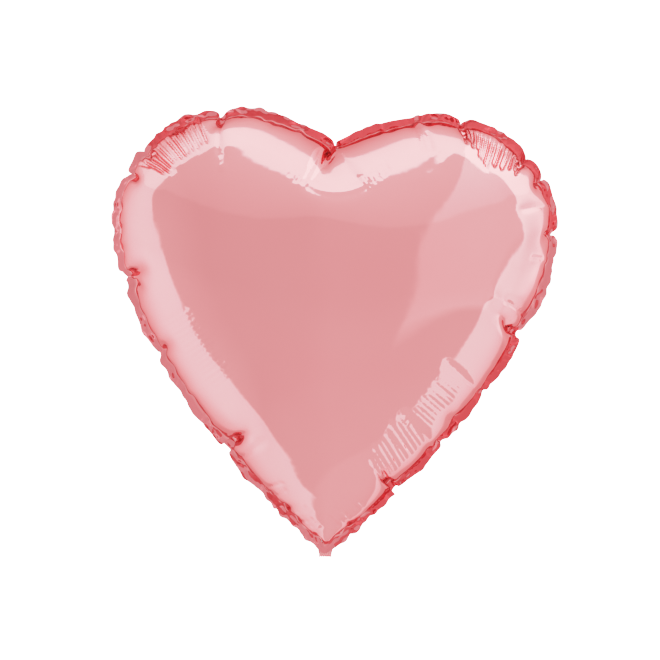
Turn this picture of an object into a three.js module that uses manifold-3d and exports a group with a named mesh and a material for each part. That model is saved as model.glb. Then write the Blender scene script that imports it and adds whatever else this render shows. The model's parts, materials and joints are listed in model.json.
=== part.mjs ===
// Heart-shaped foil balloon: two sheets of metallised film, welded face to face round a flat margin
// and blown up, with a filling tail folded up behind the heart's point and a self-sealing valve of two
// plies of clear film inside the tail and the heart.
//
// Millimetres, +Z up, the heart's front towards -Y. The origin is the throat at the heart's point, where
// the tail leaves the heart and a ribbon is tied.
import * as THREE from "three";
import { mergeVertices } from "three/addons/utils/BufferGeometryUtils.js";
import Module from "manifold-3d";

// ---------- Overall sizes of the blown-up heart, over the welded margin ----------
const HEART_WIDTH = 362;
const HEART_HEIGHT = 361;
const HEART_DEPTH = 174;
const CLEFT_DROP = 27; // from the top of the lobes down to the cleft
const LOBE_SPACING = 160; // between the tops of the two lobes
const WIDEST_HEIGHT = 270; // above the throat

// ---------- Roundness of the outline ----------
// How far the handles of each curve reach, as shares of the stretch that it crosses.
const POINT_SPREAD = 0.55; // out from the point
const POINT_RISE = 0.33; // up from the point
const FLANK_RISE = 0.72; // up to where the heart comes upright
const SHOULDER_RISE = 0.56; // from the widest place towards the top
const SHOULDER_REACH = 0.52; // from the top of the lobe towards the widest place
const LOBE_REACH = 0.6; // from the middle towards the top of the lobe
const CLEFT_REACH = 0.24; // out of the cleft
const CLEFT_RISE = 0.5; // up out of the cleft

// ---------- Film ----------
const FILM = 0.6;
const WELD_GAP = 0.3; // between two plies that lie face to face
const MARGIN = 9; // width of the welded margin outside the seam

// ---------- Throat and tail ----------
const THROAT_WIDTH = 10; // the film is gathered to this where the tail leaves the heart
const FOLD_GAP = 0.3; // from the fold line to the margin on one side and to the tail on the other
const TAIL_LENGTH = 62;
const TAIL_WIDTH = 38;
const TAIL_FAN = 24; // length over which the gathered tail spreads to its full width
const TAIL_SEAL = 2; // width of the welded strip along each side of the tail
const TAIL_BULGE = 1.2; // how far each ply of the tail stands out over the valve
const TAIL_CLEARANCE_DEG = 2; // between the folded tail and the steepest line up the back

// ---------- Valve ----------
const VALVE_FILM = 0.4;
const VALVE_CHANNEL = 0.6; // between the valve's two plies, inside the tail
const VALVE_INLET_WIDTH = 28;
const VALVE_INLET_INSET = 8; // from the mouth of the tail to the valve
const VALVE_FLAP_WIDTH = 30;
const VALVE_FLAP_LENGTH = 90;
const VALVE_FLAP_FAN = 26; // length over which the flap spreads inside the heart
const VALVE_ROOT_WIDTH = 7; // where the valve passes the throat

// ---------- How finely the heart is divided ----------
const HALF_COLUMNS = 34; // from the point to the cleft, round one lobe
const DOME_RINGS = 8; // from the seam to the crown
const POLE_SHARE = 0.6; // of the heart's height, where every point of the seam can be seen from
const RELAXING_SWEEPS = 900;
const PROFILE_STEPS = 48;
const CUT_PAST = 1; // how far a cut runs past the face that it opens
const MERGE_WITHIN = 1e-4;

const film = new THREE.MeshStandardMaterial({ color: 0xe59a9d, roughness: 0.16, metalness: 1 });
const valveFilm = new THREE.MeshStandardMaterial({ color: 0xe6e8ea, roughness: 0.35, metalness: 0 });

const wasm = await Module();
wasm.setup();

// ---------- Outline of the heart ----------

// The right half of the seam, from the point up round the lobe to the cleft.
function halfSeam() {
  const halfWidth = HEART_WIDTH / 2 - MARGIN;
  const top = HEART_HEIGHT - MARGIN;
  const foot = MARGIN - FOLD_GAP;
  const cleft = top - CLEFT_DROP;
  const lobe = LOBE_SPACING / 2;
  const path = new THREE.Path();
  path.moveTo(0, foot);
  path.bezierCurveTo(
    POINT_SPREAD * halfWidth, foot + POINT_RISE * (WIDEST_HEIGHT - foot),
    halfWidth, foot + FLANK_RISE * (WIDEST_HEIGHT - foot),
    halfWidth, WIDEST_HEIGHT,
  );
  path.bezierCurveTo(
    halfWidth, WIDEST_HEIGHT + SHOULDER_RISE * (top - WIDEST_HEIGHT),
    lobe + SHOULDER_REACH * (halfWidth - lobe), top,
    lobe, top,
  );
  path.bezierCurveTo(LOBE_REACH * lobe, top, CLEFT_REACH * lobe, cleft + CLEFT_RISE * CLEFT_DROP, 0, cleft);
  return path;
}

// The whole seam, anticlockwise from the point as seen from the front. Each of its points also holds the
// direction away from the heart.
function seamPoints() {
  const half = halfSeam().getSpacedPoints(HALF_COLUMNS);
  const mirrored = half.slice(1, -1).reverse().map((p) => new THREE.Vector2(-p.x, p.y));
  const points = [...half, ...mirrored];
  return points.map((point, i) => {
    const before = points[(i + points.length - 1) % points.length];
    const after = points[(i + 1) % points.length];
    const along = after.clone().sub(before).normalize();
    return { point, outward: new THREE.Vector2(along.y, -along.x) };
  });
}

const seam = seamPoints();
const columns = seam.length;
const pole = new THREE.Vector2(0, POLE_SHARE * HEART_HEIGHT);

// Edge of the margin beside a point of the seam, cut off straight at the throat.
function marginPoint({ point, outward }) {
  const edge = point.clone().addScaledVector(outward, MARGIN);
  return new THREE.Vector2(edge.x, Math.max(edge.y, FOLD_GAP));
}

// ---------- Shape of the inflated film ----------

// Share of the way from the pole to the seam for each ring, closer together towards the seam.
const ringShare = (ring) => Math.cos((Math.PI / 2) * (ring / DOME_RINGS));

// Point of the dome's net. Ring 0 is the seam and the last ring is the pole.
function netPoint(column, ring) {
  return pole.clone().lerp(seam[column].point, ringShare(ring));
}

// The dome's net as triangles of [column, ring] pairs. Every column shares the one point at the pole.
function netTriangles() {
  const triangles = [];
  for (let ring = 0; ring < DOME_RINGS; ring++) {
    for (let column = 0; column < columns; column++) {
      const next = (column + 1) % columns;
      triangles.push([[column, ring], [next, ring], [column, ring + 1]]);
      if (ring + 1 < DOME_RINGS) triangles.push([[next, ring], [next, ring + 1], [column, ring + 1]]);
    }
  }
  return triangles;
}

const netIndex = ([column, ring]) => (ring === DOME_RINGS ? columns * DOME_RINGS : ring * columns + column);

// Height of a soap film over the seam, blown up by a small pressure: 0 on the seam and 1 at its highest.
// Each point of the net settles to the balance of its neighbours, weighted by the angles between them.
function soapFilm() {
  const count = columns * DOME_RINGS + 1;
  const load = new Float64Array(count);
  const links = Array.from({ length: count }, () => new Map());
  for (const triangle of netTriangles()) {
    const at = triangle.map(([column, ring]) => netPoint(column, ring));
    const id = triangle.map(netIndex);
    const area = Math.abs(at[1].clone().sub(at[0]).cross(at[2].clone().sub(at[0]))) / 2;
    for (let k = 0; k < 3; k++) {
      const [a, b, apex] = [(k + 1) % 3, (k + 2) % 3, k];
      const toA = at[a].clone().sub(at[apex]);
      const toB = at[b].clone().sub(at[apex]);
      const weight = toA.dot(toB) / (4 * area);
      links[id[a]].set(id[b], (links[id[a]].get(id[b]) ?? 0) + weight);
      links[id[b]].set(id[a], (links[id[b]].get(id[a]) ?? 0) + weight);
      load[id[k]] += area / 3;
    }
  }
  const height = new Float64Array(count);
  for (let sweep = 0; sweep < RELAXING_SWEEPS; sweep++) {
    for (let i = columns; i < count; i++) {
      let pull = load[i];
      let total = 0;
      for (const [j, weight] of links[i]) {
        pull += weight * height[j];
        total += weight;
      }
      height[i] = pull / total;
    }
  }
  const highest = Math.max(...height);
  return height.map((value) => value / highest);
}

// Half section of a balloon made from two flat sheets that don't stretch, from 0 at its rim to 1 at its
// crown, for a point at a share of the way from crown to rim: flat at the crown and upright at the rim.
function foilProfile(share) {
  const integral = (from) => {
    const step = (Math.PI / 2 - from) / PROFILE_STEPS;
    let sum = 0;
    for (let k = 0; k < PROFILE_STEPS; k++) sum += Math.sqrt(Math.sin(from + (k + 0.5) * step)) * step;
    return sum;
  };
  return integral(Math.asin(share * share)) / integral(0);
}

const soap = soapFilm();
const crown = HEART_DEPTH / 2 - FILM - WELD_GAP / 2; // height of the dome over its margin

function domeHeight(column, ring) {
  const fallen = Math.max(0, 1 - soap[netIndex([column, ring])]);
  return crown * foilProfile(Math.sqrt(fallen));
}

// ---------- Panels ----------

// One sheet of film: its dome and its margin. side is -1 for the front and 1 for the back.
function panel(side) {
  const positions = [];
  const faces = [];
  const inner = WELD_GAP / 2;
  const outer = inner + FILM;
  const addPoint = (flat, out) => positions.push(flat.x, side * out, flat.y) / 3 - 1;

  // The dome's inside is the outside moved in by the film.
  const shells = [0, FILM].map((depth) => {
    const ids = new Map();
    for (let ring = 0; ring <= DOME_RINGS; ring++) {
      for (let column = 0; column < columns; column++) {
        const id = netIndex([column, ring]);
        if (ids.has(id)) continue;
        const reach = pole.distanceTo(seam[column].point);
        const flat = netPoint(column, ring).lerp(pole, depth / reach);
        const height = domeHeight(column, ring) * (1 - depth / crown);
        ids.set(id, addPoint(flat, (depth ? inner : outer) + height));
      }
    }
    return ids;
  });
  const edge = [outer, inner].map((out) => seam.map((s) => addPoint(marginPoint(s), out)));

  const addFace = (a, b, c) => faces.push(...(side < 0 ? [a, b, c] : [a, c, b]));
  for (const triangle of netTriangles()) {
    const [a, b, c] = triangle.map((corner) => shells[0].get(netIndex(corner)));
    addFace(a, b, c);
    const [d, e, f] = triangle.map((corner) => shells[1].get(netIndex(corner)));
    addFace(d, f, e);
  }
  for (let column = 0; column < columns; column++) {
    const next = (column + 1) % columns;
    const loops = [shells[0], edge[0], edge[1], shells[1]].map((loop) =>
      loop instanceof Map ? [loop.get(column), loop.get(next)] : [loop[column], loop[next]],
    );
    for (let k = 0; k < 3; k++) {
      const [[a, b], [c, d]] = [loops[k], loops[k + 1]];
      addFace(a, c, b);
      addFace(b, c, d);
    }
  }
  return new THREE.BufferGeometry()
    .setAttribute("position", new THREE.Float32BufferAttribute(positions, 3))
    .setIndex(faces);
}

// ---------- Flat plies ----------

// A strip that starts narrow, fans out and runs on straight: x across, y along, from start to end.
function fanShape(rootWidth, width, start, fanEnd, end) {
  const shape = new THREE.Shape();
  shape.moveTo(-rootWidth / 2, start);
  shape.lineTo(rootWidth / 2, start);
  shape.lineTo(width / 2, fanEnd);
  shape.lineTo(width / 2, end);
  shape.lineTo(-width / 2, end);
  shape.lineTo(-width / 2, fanEnd);
  shape.closePath();
  return shape;
}

const plate = (shape, thickness) =>
  new THREE.ExtrudeGeometry(shape, { depth: thickness, bevelEnabled: false });

// A closed geometry as a solid for joining.
function solid(geometry) {
  const bare = geometry.clone().deleteAttribute("normal").deleteAttribute("uv");
  const merged = mergeVertices(bare, MERGE_WITHIN);
  return new wasm.Manifold(
    new wasm.Mesh({
      numProp: 3,
      vertProperties: new Float32Array(merged.getAttribute("position").array),
      triVerts: new Uint32Array(merged.index.array),
    }),
  );
}

function geometryOf(manifold) {
  const { vertProperties, triVerts } = manifold.getMesh();
  return new THREE.BufferGeometry()
    .setAttribute("position", new THREE.BufferAttribute(vertProperties, 3))
    .setIndex(new THREE.BufferAttribute(triVerts, 1));
}

// One ply of the tail: a flat face that stands out over the valve, with a lip down each side to the weld.
function tailPly() {
  const outline = fanShape(THROAT_WIDTH, TAIL_WIDTH, FOLD_GAP, TAIL_FAN, TAIL_LENGTH);
  const face = solid(plate(outline, FILM));
  const block = solid(plate(outline, FILM + TAIL_BULGE));
  const insideWidths = [THROAT_WIDTH, TAIL_WIDTH].map((width) => width - 2 * TAIL_SEAL);
  const inside = fanShape(...insideWidths, -CUT_PAST, TAIL_FAN, TAIL_LENGTH + CUT_PAST);
  const hollow = solid(plate(inside, FILM + TAIL_BULGE + CUT_PAST));
  return geometryOf(block.subtract(hollow).add(face));
}

const valveInlet = () =>
  plate(
    fanShape(
      THROAT_WIDTH - 2 * TAIL_SEAL - 2 * WELD_GAP, VALVE_INLET_WIDTH,
      2 * FOLD_GAP, TAIL_FAN, TAIL_LENGTH - VALVE_INLET_INSET,
    ),
    VALVE_FILM,
  );

// The flap starts far enough up the point to clear the seam on both sides.
const flapRoot = halfSeam().getPoint(0).y + VALVE_ROOT_WIDTH;
const valveFlap = () =>
  plate(
    fanShape(
      VALVE_ROOT_WIDTH, VALVE_FLAP_WIDTH,
      flapRoot, flapRoot + VALVE_FLAP_FAN, flapRoot + VALVE_FLAP_LENGTH,
    ),
    VALVE_FILM,
  );

// ---------- Assembly ----------

const balloon = new THREE.Group();

function addMesh(parent, name, geometry, material) {
  const mesh = new THREE.Mesh(geometry, material);
  mesh.name = name;
  parent.add(mesh);
  return mesh;
}

addMesh(balloon, "front_panel", panel(-1), film);
addMesh(balloon, "back_panel", panel(1), film);

// The flap's plies stand in the plane of the seam, a weld gap apart.
for (const [name, y] of [
  ["valve_front_flap", -WELD_GAP / 2],
  ["valve_back_flap", WELD_GAP / 2 + VALVE_FILM],
]) {
  const flap = addMesh(balloon, name, valveFlap(), valveFilm);
  flap.rotation.x = Math.PI / 2;
  flap.position.y = y;
}

// The fold line lies just behind the margin, so that the tail folds flat against the back.
const foldY = WELD_GAP / 2 + FILM + WELD_GAP;

// Steepest line from the fold up the middle of the back, measured from the vertical.
function steepestBack() {
  let steepest = 0;
  for (let ring = 0; ring < DOME_RINGS; ring++) {
    const { y: height } = netPoint(0, ring);
    const out = WELD_GAP / 2 + FILM + domeHeight(0, ring) - foldY;
    steepest = Math.max(steepest, Math.atan2(out, height));
  }
  return steepest;
}

// In the tail's own frame x runs across it, y along it from the fold and z out from the ply that lies
// against the back of the heart.
const tail = new THREE.Group();
const foldedAngle = steepestBack() + THREE.MathUtils.degToRad(TAIL_CLEARANCE_DEG);
tail.position.y = foldY;
tail.rotation.set(-(Math.PI / 2 + foldedAngle), 0, Math.PI);
balloon.add(tail);

const plyHeight = FILM + TAIL_BULGE;
const tailThickness = 2 * plyHeight + WELD_GAP;
const valveMiddle = tailThickness / 2;

addMesh(tail, "tail_back_ply", tailPly(), film);
const frontPly = addMesh(tail, "tail_front_ply", tailPly(), film);
frontPly.position.z = tailThickness;
frontPly.rotation.y = Math.PI;
addMesh(tail, "valve_back_inlet", valveInlet(), valveFilm).position.z =
  valveMiddle - VALVE_CHANNEL / 2 - VALVE_FILM;
addMesh(tail, "valve_front_inlet", valveInlet(), valveFilm).position.z = valveMiddle + VALVE_CHANNEL / 2;

export default balloon;
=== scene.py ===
"""Looks of a heart-shaped foil balloon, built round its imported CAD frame.

Two flat hearts of metallised film are welded along a line and blown up by the cloth solver, so the weld
puckers as on the real thing. The full film is fitted to the frame, and creases, the crumpled margin, the
tail and the valve are laid on in code.
Sizes are in millimetres, but for the settings, which are in metres as Blender has them.
"""

import json
import math

import bpy
import numpy as np
from mathutils import Matrix, Vector
from mathutils.geometry import delaunay_2d_cdt


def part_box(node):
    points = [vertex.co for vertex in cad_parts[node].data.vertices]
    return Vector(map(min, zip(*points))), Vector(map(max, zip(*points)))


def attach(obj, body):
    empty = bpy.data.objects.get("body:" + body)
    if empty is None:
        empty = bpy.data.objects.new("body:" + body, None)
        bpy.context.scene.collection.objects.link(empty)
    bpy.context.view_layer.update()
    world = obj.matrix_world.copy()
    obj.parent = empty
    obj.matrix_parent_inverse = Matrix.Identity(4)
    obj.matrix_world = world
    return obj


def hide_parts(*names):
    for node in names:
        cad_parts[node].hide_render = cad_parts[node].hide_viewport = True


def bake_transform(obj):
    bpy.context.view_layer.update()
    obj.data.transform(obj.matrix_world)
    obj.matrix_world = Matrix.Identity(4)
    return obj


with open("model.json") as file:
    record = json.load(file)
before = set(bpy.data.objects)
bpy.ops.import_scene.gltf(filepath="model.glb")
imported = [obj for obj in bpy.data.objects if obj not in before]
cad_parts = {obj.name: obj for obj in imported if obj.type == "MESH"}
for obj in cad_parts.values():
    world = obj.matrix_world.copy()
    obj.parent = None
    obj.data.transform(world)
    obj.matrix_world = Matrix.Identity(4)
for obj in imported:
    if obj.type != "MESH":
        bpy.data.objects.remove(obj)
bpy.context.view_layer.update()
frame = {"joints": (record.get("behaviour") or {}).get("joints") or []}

MM = 0.001

bl_info = {
    "name": "Heart-shaped foil balloon",
    "version": (1, 0, 0),
    "blender": (4, 5, 0),
    "location": "3D View > Sidebar > Balloon",
    "description": "Blows up the welded film, and adds the filling tail and the valve of a foil balloon",
    "category": "Add Mesh",
}

PANEL_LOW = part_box("front_panel")[0]
FLAP_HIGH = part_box("valve_front_flap")[1]
TAIL_HINGE = frame["joints"][0]
FOLD_Y = TAIL_HINGE["pos_m"][1] / MM
FOLDED_ANGLE = math.pi - math.radians(TAIL_HINGE["range_deg"][1])


# ---------------------------------------------------------------- settings


def length(label, text, millimetres):
    """A size, shown as a distance."""
    default = millimetres * MM
    return bpy.props.FloatProperty(name=label, description=text, default=default, unit="LENGTH", precision=5)


def share(label, text, default):
    """A part of a whole, or a strength."""
    return bpy.props.FloatProperty(name=label, description=text, default=default, subtype="FACTOR")


def number(label, text, default, subtype="NONE"):
    """A plain number, or an angle in radians."""
    return bpy.props.FloatProperty(name=label, description=text, default=default, subtype=subtype)


def colour(label, text, default):
    """A colour as an sRGB hex value."""
    return bpy.props.StringProperty(name=label, description=text, default=default)


HANDLES = (
    "point_spread",
    "point_rise",
    "flank_rise",
    "shoulder_rise",
    "shoulder_reach",
    "lobe_reach",
    "cleft_reach",
    "cleft_rise",
)


def outline_settings(width, height, widest, lobes, cleft, shares):
    """Properties of one outline. The shares say how far the handle of each curve reaches."""
    found = {
        "width": length("Width", "Across the widest place", width),
        "height": length("Height", "From the point to the top of the lobes", height),
        "widest": length("Widest", "From the point up to the widest place", widest),
        "lobes": length("Lobes", "Between the tops of the two lobes", lobes),
        "cleft": length("Cleft", "From the top of the lobes down to the cleft", cleft),
    }
    for name, value in zip(HANDLES, shares):
        found[name] = share(name.replace("_", " ").capitalize(), "Reach of a curve's handle", value)
    return found


class BlownSettings(bpy.types.PropertyGroup):
    """The weld line of the balloon when it is full."""

    __annotations__ = outline_settings(
        348, 345.5, 262.5, 161, 27, (0.55, 0.33, 0.72, 0.56, 0.52, 0.6, 0.24, 0.5)
    )


class CutSettings(bpy.types.PropertyGroup):
    """The weld line on the flat film."""

    __annotations__ = outline_settings(
        431, 415, 276, 150, 5, (0.64, 0.165, 0.71, 0.6, 0.55, 0.56, 0.24, 0.49)
    )


class FilmSettings(bpy.types.PropertyGroup):
    """The film of the two panels."""

    margin: length("Margin", "Width of the film outside the weld", 9)
    pressure: number("Pressure", "How hard the balloon is blown up", 25.0)
    crumple: share("Crumple", "How strongly the margin is crumpled", 1.0)


class TailSettings(bpy.types.PropertyGroup):
    """The filling tail."""

    length: length("Length", "From the fold to the mouth", 62)
    width: length("Width", "Across the tail where it lies flat", 38)
    throat: length("Throat", "Width that the film is gathered to at the fold", 10)
    fan: length("Fan", "Length over which the gathered film spreads out", 44)
    seal: length("Seal", "Width of the weld down each side", 2)


class ValveSettings(bpy.types.PropertyGroup):
    """The self-sealing valve."""

    inset: length("Inset", "From the mouth of the tail to the end of the valve", 8)
    inlet_width: length("Inlet width", "Across the valve in the tail", 28)
    flap_width: length("Flap width", "Across the valve in the heart", 30)
    throat: length("Throat", "Width that the valve is gathered to", 7)


class ColourSettings(bpy.types.PropertyGroup):
    """Colours of the films and the floor, and a painted reflection on the margin."""

    foil: colour("Foil", "Pink lacquer over the metal", "#F4A9AB")
    foil_deep: colour("Deep foil", "Where the lacquer lies thicker", "#F2A2A5")
    # Margin: a painted deeper pink, a painted reflection of the film mirrored in itself in the crumpled
    # margin.
    foil_painted_margin_reflection: colour("Margin painted reflection", "Margin, where the pink is deeper", "#E98D92")
    glancing: colour("Glancing", "Foil seen at a glancing angle", "#F0B4B5")
    valve: colour("Valve", "Clear film", "#F3F5F6")
    floor: colour("Floor", "Floor of the studio", "#F4F3F1")


class StageSettings(bpy.types.PropertyGroup):
    """Floor and camera."""

    floor_drop: length("Floor drop", "From the heart's point down to the floor", 1600)
    floor_radius: length("Floor radius", "Radius of the floor", 6000)
    camera_distance: length("Camera distance", "From the camera to the balloon", 1488)
    aim_x: length("Aim across", "Where the camera aims, to the right of the heart's middle", -1.5)
    aim_z: length("Aim up", "Where the camera aims, above the heart's point", 182.5)
    lens: number("Lens", "Focal length in millimetres", 100.0)
    sensor: number("Sensor", "Width of the sensor in millimetres", 36.0)
    lean: number("Lean", "Lean of the camera to one side", math.radians(1.7), "ANGLE")


# ---------------------------------------------------------------- cut of the film

SEAM_STEP = 3.3  # between points of the flat film near the weld line
CALM_STEP = 6.0  # and where it stays smooth
CALM_FROM = 62.0  # distance from the weld line where it does
NET_GAP = 2.0  # between the two kinds of points
NET_UNEVENNESS = 0.1  # how far a point is off its place, as a share of the step
NEAREST = 0.6  # how near the weld line the first points lie, as a share of the step
MARGIN_ROWS = 3
PLACES = 2400  # marks on a weld line that a point's nearest one is looked up among
AT_A_TIME = 4000  # points looked up at a time
FAR_AWAY = 1e9


def bezier(start, handle, other_handle, end, steps=400):
    """Points on a cubic curve."""
    t = np.linspace(0, 1, steps)[:, None]
    corners = [np.array(p, float) for p in (start, handle, other_handle, end)]
    weights = [(1 - t) ** 3, 3 * (1 - t) ** 2 * t, 3 * (1 - t) * t * t, t**3]
    return sum(w * p for w, p in zip(weights, corners))


class Outline:
    """The weld line, flat or blown up. It starts at the heart's point."""

    def __init__(self, sizes):
        half, top = sizes.width / MM / 2, sizes.height / MM
        widest, lobe, drop = sizes.widest / MM, sizes.lobes / MM / 2, sizes.cleft / MM
        spread, rise, flank = sizes.point_spread, sizes.point_rise, sizes.flank_rise
        side = bezier((0, 0), (spread * half, rise * widest), (half, flank * widest), (half, widest))
        shoulder = bezier(
            (half, widest),
            (half, widest + sizes.shoulder_rise * (top - widest)),
            (lobe + sizes.shoulder_reach * (half - lobe), top),
            (lobe, top),
        )
        into = (sizes.cleft_reach * lobe, top - drop * sizes.cleft_rise)
        inner = bezier((lobe, top), (sizes.lobe_reach * lobe, top), into, (0, top - drop))
        self.line = np.vstack([side, shoulder[1:], inner[1:]])
        self.along = np.concatenate([[0], np.cumsum(np.hypot(*np.diff(self.line, axis=0).T))])
        self.half_length = self.along[-1]
        self.length = 2 * self.half_length

    def at(self, s):
        """Points this far along the line: from 0 at the point up the right side, and down the left."""
        s = np.asarray(s, float) % self.length
        right = s <= self.half_length
        folded = np.where(right, s, self.length - s)
        x = np.interp(folded, self.along, self.line[:, 0])
        return np.stack([np.where(right, x, -x), np.interp(folded, self.along, self.line[:, 1])], axis=1)

    def outward(self, s):
        """Unit normals that point out of the heart."""
        ahead = self.at(s + 0.5) - self.at(s - 0.5)
        ahead /= np.hypot(*ahead.T)[:, None]
        return np.stack([ahead[:, 1], -ahead[:, 0]], axis=1)

    def place(self, p):
        """Distances along the line and in from it of points on the flat film."""
        s = np.linspace(0, self.length, PLACES, endpoint=False)
        line = self.at(s)
        nearest = np.empty(len(p), int)
        gap = np.empty(len(p))
        for k in range(0, len(p), AT_A_TIME):
            some = slice(k, k + AT_A_TIME)
            squares = ((p[some, None] - line[None]) ** 2).sum(axis=2)
            nearest[some] = squares.argmin(axis=1)
            gap[some] = np.sqrt(squares.min(axis=1))
        return s[nearest], gap


def inside_line(p, line):
    """Whether each point lies inside a closed line."""
    after = np.roll(line, -1, axis=0)
    crossing = (line[None, :, 1] > p[:, None, 1]) != (after[None, :, 1] > p[:, None, 1])
    rise = after[:, 1] - line[:, 1]
    rise = np.where(np.abs(rise) < 1e-12, 1e-12, rise)
    at = line[:, 0] + (p[:, None, 1] - line[:, 1]) / rise * (after[:, 0] - line[:, 0])
    return (crossing & (p[:, None, 0] < at)).sum(axis=1) % 2 == 1


def scattered(low, high, step, rng):
    """A triangular grid of points over a rectangle, uneven so that no crease follows the grid."""
    rows = []
    for k, z in enumerate(np.arange(low[1], high[1], step * math.sqrt(3) / 2)):
        x = np.arange(low[0], high[0], step) + (k % 2) * step / 2
        rows.append(np.stack([x, np.full_like(x, z)], axis=1))
    points = np.vstack(rows)
    return points + rng.normal(0, NET_UNEVENNESS * step, points.shape)


class Net:
    """The flat film as a net of triangles: one layer of it, and the margin outside the weld."""

    def __init__(self, cut, margin):
        rng = np.random.default_rng(5)
        self.columns = int(cut.length / SEAM_STEP) // 2 * 2
        self.s = np.linspace(0, cut.length, self.columns, endpoint=False)
        seam = cut.at(self.s)
        low, high = seam.min(axis=0), seam.max(axis=0)
        found = []
        seam_points = (SEAM_STEP, NEAREST * SEAM_STEP, CALM_FROM)
        calm_points = (CALM_STEP, CALM_FROM + NET_GAP, FAR_AWAY)
        for step, near, far in (seam_points, calm_points):
            p = scattered(low, high, step, rng)
            p = p[inside_line(p, seam)]
            gap = cut.place(p)[1]
            found.append(p[(gap > near) & (gap < far)])
        loose = np.vstack(found)
        border = [(k, (k + 1) % self.columns) for k in range(self.columns)]
        made = delaunay_2d_cdt([Vector(p) for p in [*seam, *loose]], border, [], 1, 1e-5)
        lookup = [origin[0] for origin in made[3]]
        self.layer = np.array([[lookup[v] for v in face] for face in made[2]])
        self.film = np.vstack([seam, loose])
        rows = []
        outward = cut.outward(self.s)
        for k in range(1, MARGIN_ROWS + 1):
            row = seam + outward * (margin * k / MARGIN_ROWS)
            side = np.sign(seam[:, 0])
            # In the cleft the margins of the two sides stay apart.
            row[:, 0] = side * np.maximum(row[:, 0] * side, 0.3 * np.abs(seam[:, 0]))
            rows.append(row)
        self.margin = np.vstack(rows)
        self.inward = np.concatenate([cut.place(self.film)[1], np.zeros(len(self.margin))])


# ---------------------------------------------------------------- inflation

NOTCH_SEED = 2.5  # how far the flat weld is set off at each notch, so that it puckers there
NOTCH_SEED_WIDTH = 5  # over this far to each side
START_SLOPE = 0.15  # the two layers start apart by this slope
START_RUN = 20  # from the weld inwards to here
SCALE = 10  # the film is blown up ten times its size, where the cloth solver is steadier
FRAMES = 50

# Film that hardly stretches and bends easily. The damping stops it from flapping before it is full.
CLOTH = {
    "quality": 6,
    "mass": 0.3,
    "tension_stiffness": 80,
    "compression_stiffness": 80,
    "shear_stiffness": 80,
    "tension_damping": 25,
    "compression_damping": 25,
    "shear_damping": 25,
    "bending_model": "ANGULAR",
    "bending_stiffness": 0.8,
    "bending_damping": 0.5,
    "air_damping": 4,
    "use_pressure": True,
}


def margin_quads(first, columns, start):
    """Faces of the margin's rows, which begin at the index start, outside the ring that begins at first."""
    starts = [first] + [start + k * columns for k in range(MARGIN_ROWS)]
    rows = [np.arange(columns) + start for start in starts]
    quads = []
    for inner, outer in zip(rows, rows[1:]):
        quads.append(np.stack([inner, outer, np.roll(outer, -1), np.roll(inner, -1)], axis=1))
    return np.vstack(quads)


def inflate(cut, net, notches, pressure):
    """Blows up two layers welded along the line, and gives every point's place: the front layer with the weld
    first, then the back layer without it, then the margin."""
    n, film = net.columns, len(net.film)
    loose = film - n
    standing = np.minimum(net.inward[:film], START_RUN) * START_SLOPE
    seeds = np.zeros(n)
    for k, place in enumerate(notches):
        off = (net.s - place + cut.half_length) % cut.length - cut.half_length
        seeds += (-1) ** k * NOTCH_SEED * np.exp(-((off / NOTCH_SEED_WIDTH) ** 2))
    front = np.stack([net.film[:, 0], -standing, net.film[:, 1]], axis=1)
    back = np.stack([net.film[n:, 0], standing[n:], net.film[n:, 1]], axis=1)
    edge = np.stack([net.margin[:, 0], 0 * net.margin[:, 0], net.margin[:, 1]], axis=1)
    front[:n, 1] += seeds
    edge[:, 1] += np.tile(seeds, MARGIN_ROWS)
    layer = net.layer
    other = np.where(layer < n, layer, layer + loose)[:, ::-1]
    quads = margin_quads(0, n, film + loose)
    points = np.vstack([front, back, edge])
    faces = [*layer.tolist(), *other.tolist(), *quads.tolist()]
    mesh = bpy.data.meshes.new("film")
    mesh.from_pydata((points * MM * SCALE).tolist(), [], faces)
    mesh.update()
    if mesh.polygons[0].normal.y > 0:
        mesh.flip_normals()
    film_object = bpy.data.objects.new("film", mesh)
    bpy.context.scene.collection.objects.link(film_object)
    group = film_object.vertex_groups.new(name="blown")
    group.add([*range(n, film + loose)], 1.0, "REPLACE")
    modifier = film_object.modifiers.new("Cloth", "CLOTH")
    cloth = modifier.settings
    for name, value in CLOTH.items():
        setattr(cloth, name, value)
    cloth.uniform_pressure_force = pressure
    cloth.vertex_group_pressure = group.name
    cloth.effector_weights.gravity = 0
    modifier.collision_settings.use_collision = False
    modifier.point_cache.frame_end = FRAMES
    for moment in range(1, FRAMES + 1):
        bpy.context.scene.frame_set(moment)
    solved = film_object.evaluated_get(bpy.context.evaluated_depsgraph_get())
    flat = np.empty(len(points) * 3)
    solved.data.vertices.foreach_get("co", flat)
    bpy.data.objects.remove(film_object)
    bpy.context.scene.frame_set(1)
    return flat.reshape(-1, 3) / (MM * SCALE)


# ---------------------------------------------------------------- puckers

# Where the weld is drawn in, in millimetres along it from the point of the full balloon, up each side.
RIGHT_NOTCHES = (16, 40, 82, 120, 175, 242, 293, 315, 336, 359, 380, 406, 437, 474)
LEFT_NOTCHES = (24, 67, 99, 136, 166, 208, 242, 273, 307, 353, 378, 442, 508)
FULL_LENGTH = 541.9  # of the weld line up one side, on which those marks are


def notch_places(cut):
    """The same places on the flat weld line, all the way round."""
    scale = cut.half_length / FULL_LENGTH
    left = [cut.length - mark * scale for mark in reversed(LEFT_NOTCHES)]
    return [mark * scale for mark in RIGHT_NOTCHES] + [cut.half_length] + left


class Fold:
    """A crease or a ridge of the full film. It runs from one place to another, each given as how far along
    the weld and how far in from it. It is drawn in by its depth, or stands out where that is negative, and
    its width is that of one flank. The sharper it is, the steeper its flanks."""

    def __init__(self, side, start, end, depth, width, sharp=1.3):
        self.side, self.start, self.end = side, start, end
        self.depth, self.width, self.sharp = depth, width, sharp


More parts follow.
